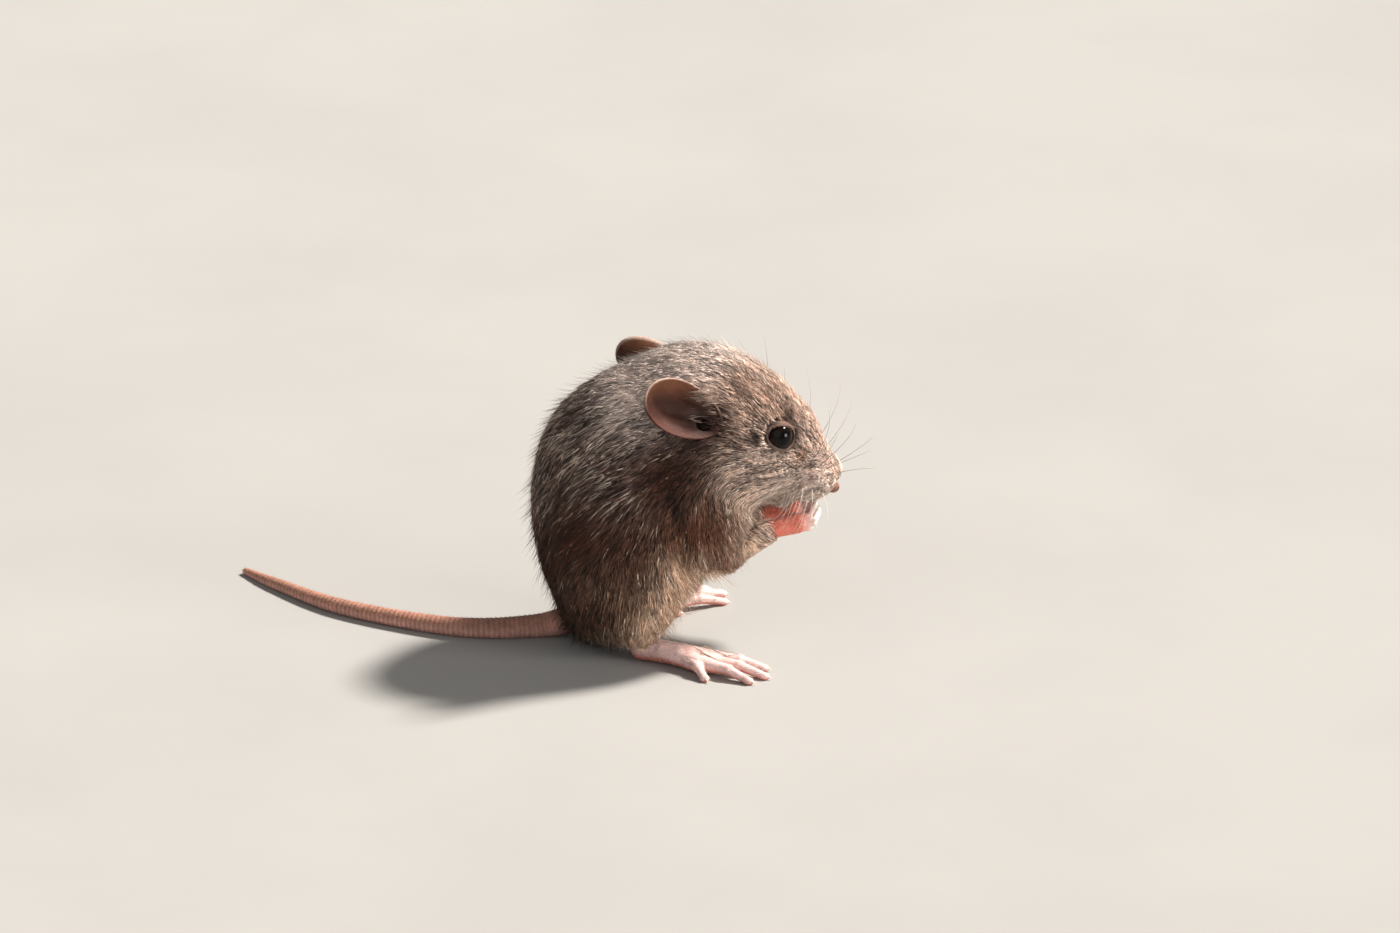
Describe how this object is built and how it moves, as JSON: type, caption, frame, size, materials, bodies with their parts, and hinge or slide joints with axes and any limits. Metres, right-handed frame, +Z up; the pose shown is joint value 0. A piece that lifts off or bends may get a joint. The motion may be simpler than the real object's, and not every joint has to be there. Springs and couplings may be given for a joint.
{
  "type": "field mouse model",
  "caption": "Life-size still model of a young field mouse sitting up on its haunches, forepaws raised to its mouth, tail laid out behind.",
  "frame": {"origin": "middle of the rump's flat seat, on the floor", "axes": "+X the way the mouse faces, along its longest extent; +Y to its left; +Z up"},
  "size_m": [0.0733, 0.0431, 0.0389],
  "materials": {
    "coat": "agouti fur, slate underfur with straw and black tips",
    "bare_skin": "bare pink skin",
    "ear_skin": "thin brown-pink skin with fine down",
    "tail_skin": "fine ringed scales, darker above",
    "claw": "pale horn",
    "eye": "wet black"
  },
  "bodies": {
    "root": {"head": "coat", "lower_jaw": "coat", "nose": "bare_skin", "neck": "coat", "eye_right": "eye", "eye_left": "eye", "ear_right": "ear_skin", "ear_left": "ear_skin", "trunk": "coat", "upper_arm_right": "coat", "upper_arm_left": "coat", "forearm_right": "coat", "forearm_left": "coat", "forepaw_right": "bare_skin", "forepaw_left": "bare_skin", "thigh_right": "coat", "thigh_left": "coat", "shank_right": "coat", "shank_left": "coat", "hind_foot_right": "bare_skin", "hind_foot_left": "bare_skin", "tail_base": "tail_skin", "tail_middle": "tail_skin", "tail_tip": "tail_skin"}
  },
  "joints": []
}
